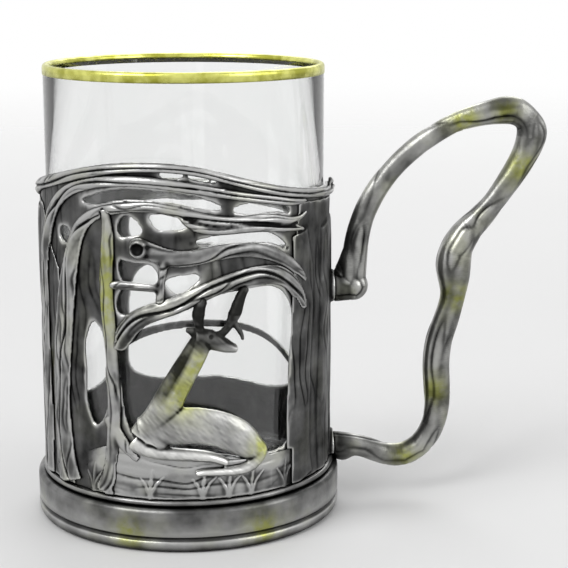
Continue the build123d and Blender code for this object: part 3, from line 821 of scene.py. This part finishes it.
# Foot and bead
bore = FOOT_RADIUS - FOOT_WALL
ceiling = FOOT_HEIGHT - FOOT_WALL
mouth = SLEEVE_RADIUS + SOLDER_GAP
flange = bore - FLANGE_WIDTH
edge = FOOT_RADIUS - FOOT_EDGE_ROUND
shoulder = FOOT_RADIUS - FOOT_SHOULDER_ROUND
groove = []
for step in range(GROOVE_STEPS + 1):
    share = step / GROOVE_STEPS
    depth = FOOT_GROOVE_DEPTH * math.sin(math.pi * share)
    groove.append((FOOT_RADIUS - depth, FOOT_RIM_HEIGHT + FOOT_GROOVE_HEIGHT * share))
foot = turned("foot_ring_turned", [
    (flange, PLATE_BOTTOM),
    (flange, FLANGE_CHAMFER),
    (flange + FLANGE_CHAMFER, 0),
    (flange + FLANGE_RING, 0),
    *arc((edge, FOOT_EDGE_ROUND), FOOT_EDGE_ROUND, -90, 0),
    *groove,
    *[(FOOT_RADIUS, ring) for ring in FOOT_WALL_RINGS],
    *arc((shoulder, FOOT_HEIGHT - FOOT_SHOULDER_ROUND), FOOT_SHOULDER_ROUND, 0, 90),
    (mouth + MOUTH_RING, FOOT_HEIGHT),
    (mouth, FOOT_HEIGHT),
    (mouth, ceiling),
    (bore, ceiling),
    (bore, PLATE_BOTTOM),
])
bead_middle = (mouth + BEAD_WIDTH - BEAD_RADIUS, FOOT_HEIGHT + BEAD_HEIGHT / 2)
bead = turned("bead_ring_turned", [
    (mouth, FOOT_HEIGHT),
    *arc(bead_middle, BEAD_RADIUS, -90, 90, BEAD_STEPS),
    (mouth, FOOT_HEIGHT + BEAD_HEIGHT),
])
for piece, node in ((foot, "foot_ring"), (bead, "bead_ring")):
    add_wear(piece.data, node)
    piece.data.materials.append(foot_metal)
    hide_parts(node)
    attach(piece, "holder")

# Glass with its gilt rim
outer = GLASS_RADIUS
inner = outer - GLASS_WALL
heel = outer - GLASS_HEEL_ROUND
floor_top = GLASS_BOTTOM + GLASS_FLOOR
lip = GLASS_WALL / 2
lip_middle = (outer - lip, GLASS_TOP - lip)
tumbler = turned("glass_tumbler_blown", [
    (0, GLASS_BOTTOM + PUNT_DEPTH),
    (PUNT_RADIUS - PUNT_SLOPE, GLASS_BOTTOM + PUNT_DEPTH),
    (PUNT_RADIUS, GLASS_BOTTOM),
    *arc((heel, GLASS_BOTTOM + GLASS_HEEL_ROUND), GLASS_HEEL_ROUND, -90, 0),
    *[(outer, ring) for ring in GLASS_WALL_RINGS],
    *arc(lip_middle, lip, 0, 180),
    *[(inner, ring) for ring in reversed(GLASS_WALL_RINGS)],
    *arc((inner - GLASS_INNER_ROUND, floor_top + GLASS_INNER_ROUND), GLASS_INNER_ROUND, 0, -90),
    (GLASS_FLOOR_RING, floor_top),
    (0, floor_top),
])
skin = GILT_THICKNESS
rim = turned("gilt_rim_fired", [
    (outer + skin, GLASS_TOP - GILT_OUTER_HEIGHT),
    *arc(lip_middle, lip + skin, 0, 180),
    (inner - skin, GLASS_TOP - GILT_INNER_HEIGHT),
    (inner, GLASS_TOP - GILT_INNER_HEIGHT),
    *arc(lip_middle, lip, 180, 0),
    (outer, GLASS_TOP - GILT_OUTER_HEIGHT),
])
for piece, node, material, slot in (
    (tumbler, "glass_tumbler", glass, "clear_glass"),
    (rim, "gilt_rim_band", gold, "gilding"),
):
    piece.data.materials.append(material)
    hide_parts(node)
    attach(piece, "glass")

# Plain pieces that keep their own shape
for node in ("base_plate", "handle_pins"):
    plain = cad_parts[node]
    plain.data.materials.clear()
    plain.data.materials.append(plate_metal)

# Floor
floor_mesh = bpy.data.meshes.new("floor")
floor_corners = [(x * FLOOR_REACH, y * FLOOR_REACH, 0) for x, y in ((-1, -1), (1, -1), (1, 1), (-1, 1))]
floor_mesh.from_pydata(floor_corners, [], [(0, 1, 2, 3)])
floor_mesh.materials.append(floor_paint())
floor = link("floor", floor_mesh)

# Soft square lamps
for name, (place, size, power) in LAMPS.items():
    light = bpy.data.lights.new(name, "AREA")
    light.size = size
    light.energy = power
    lamp = bpy.data.objects.new(name, light)
    scene.collection.objects.link(lamp)
    lamp.location = place
    away = np.array(place) - np.array(LAMP_AIM)
    tilt = math.atan2(math.hypot(away[0], away[1]), away[2])
    lamp.rotation_euler = (tilt, 0, math.atan2(away[0], -away[1]))

# White surroundings, brighter to the eye, in metal and through glass than as light on dull faces
world = bpy.data.worlds.new("studio")
scene.world = world
world.use_nodes = True
nodes, links = world.node_tree.nodes, world.node_tree.links
background = nodes["Background"]
background.inputs["Color"].default_value = (1, 1, 1, 1)
rays = nodes.new("ShaderNodeLightPath")
seen = rays.outputs["Is Camera Ray"]
for kind in ("Is Glossy Ray", "Is Transmission Ray"):
    either = nodes.new("ShaderNodeMath")
    either.operation = "MAXIMUM"
    links.new(seen, either.inputs[0])
    links.new(rays.outputs[kind], either.inputs[1])
    seen = either.outputs["Value"]
strength = span(nodes, links, seen, (0, 1), (WHITE_AS_LIGHT, WHITE_AS_SEEN))
links.new(strength, background.inputs["Strength"])

# Camera
camera = bpy.data.objects.new("camera", bpy.data.cameras.new("camera"))
scene.collection.objects.link(camera)
camera.location = CAMERA_PLACE
camera.rotation_euler = (math.radians(90 - CAMERA_PITCH), 0, math.radians(-CAMERA_YAW))
camera.data.sensor_width = SENSOR_WIDTH
camera.data.lens = SENSOR_WIDTH * FOCAL_PIXELS / PICTURE_SIDE
camera.data.clip_start = CLIP_START
scene.camera = camera
